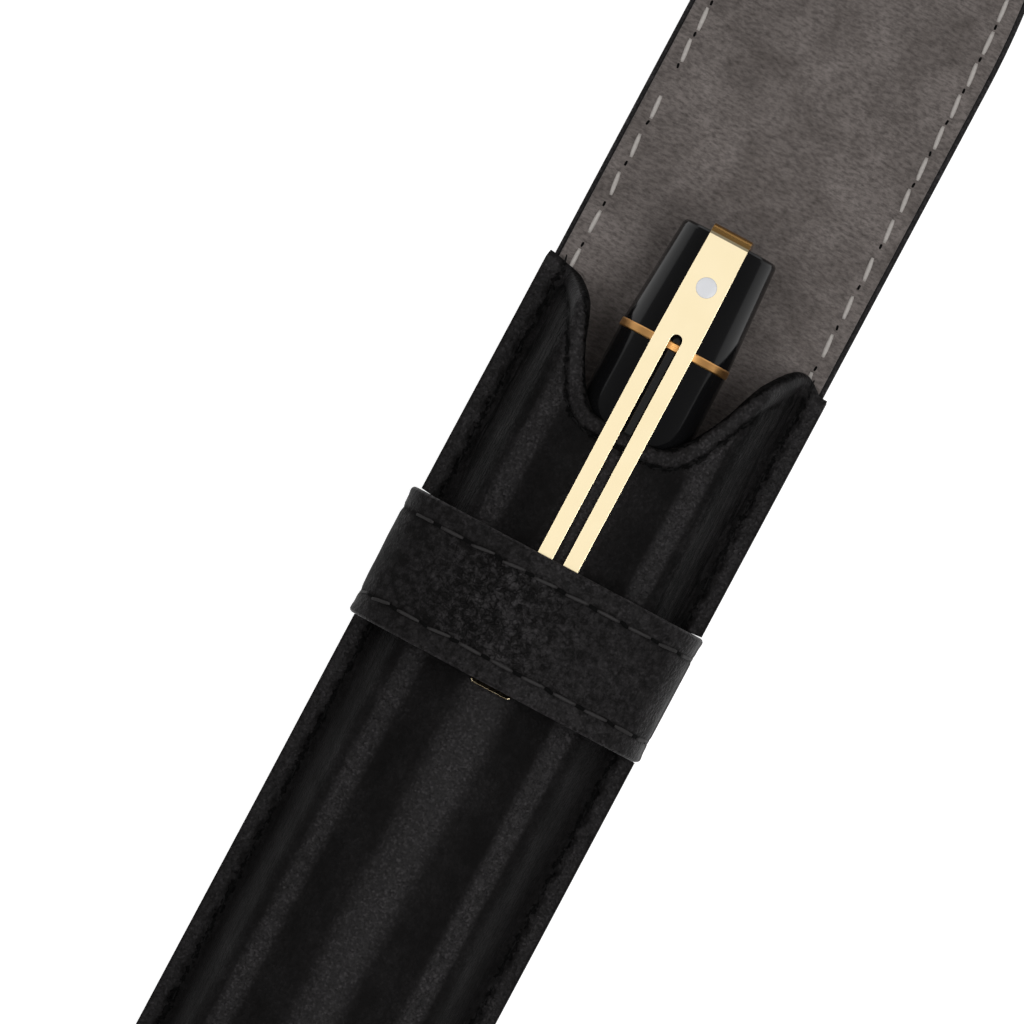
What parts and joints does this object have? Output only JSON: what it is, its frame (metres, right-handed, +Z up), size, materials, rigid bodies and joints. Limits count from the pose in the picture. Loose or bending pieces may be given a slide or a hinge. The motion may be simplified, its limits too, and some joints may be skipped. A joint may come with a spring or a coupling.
{
  "type": "fountain pen case",
  "caption": "Open leather sleeve for a fountain pen, with a suede-lined tuck-in flap, a fixed retaining strap and the capped pen clipped inside.",
  "frame": {"origin": "on the resting plane, at the middle of the pouch's mouth line, between the mouth's two side corners", "axes": "+Y from the pouch to the open flap, +Z up from the resting plane, +X across the case"},
  "size_m": [0.0368, 0.2403, 0.0259],
  "materials": {
    "black_leather": "satin",
    "black_lining_leather": "matte",
    "grey_suede": "matte",
    "leatherboard": "matte",
    "black_resin": "gloss",
    "gold_plate": "polished",
    "clear_resin": "gloss",
    "black_rubber": "matte",
    "steel": "satin",
    "grey_thread": "matte",
    "black_thread": "matte"
  },
  "bodies": {
    "pouch": {"back_leather": "black_leather", "back_board": "leatherboard", "back_lining": "grey_suede", "front_leather": "black_leather", "front_lining": "grey_suede", "mouth_roll": "black_leather", "strap_leather": "black_leather", "strap_lining": "black_lining_leather"},
    "flap_bridge": {"bridge_leather": "black_leather", "bridge_lining": "grey_suede"},
    "flap_tongue": {"tongue_leather": "black_leather", "tongue_lining": "grey_suede"},
    "pen": {"barrel": "black_resin", "section": "black_resin", "feed": "black_resin", "nib": "gold_plate", "converter_tube": "clear_resin", "converter_piston": "black_rubber", "converter_knob": "steel"},
    "cap": {"cap_tube": "black_resin", "cap_ring": "gold_plate", "cap_crown": "black_resin", "inner_cap": "black_resin", "clip": "gold_plate", "clip_stud": "gold_plate"}
  },
  "joints": [
    {"name": "first_fold", "type": "hinge", "parent": "pouch", "child": "flap_bridge", "pos_m": [0, 0.013, 0.00173], "axis": [1, 0, 0], "range_deg": [0, 90]},
    {"name": "second_fold", "type": "hinge", "parent": "flap_bridge", "child": "flap_tongue", "pos_m": [0, 0.03229, 0.00173], "axis": [1, 0, 0], "range_deg": [0, 90]},
    {"name": "pen_slide", "type": "slide", "parent": "pouch", "child": "pen", "axis": [0, 1, 0], "range_m": [0, 0.17]},
    {"name": "cap_slide", "type": "slide", "parent": "pen", "child": "cap", "axis": [0, 1, 0], "range_m": [0, 0.095]}
  ]
}
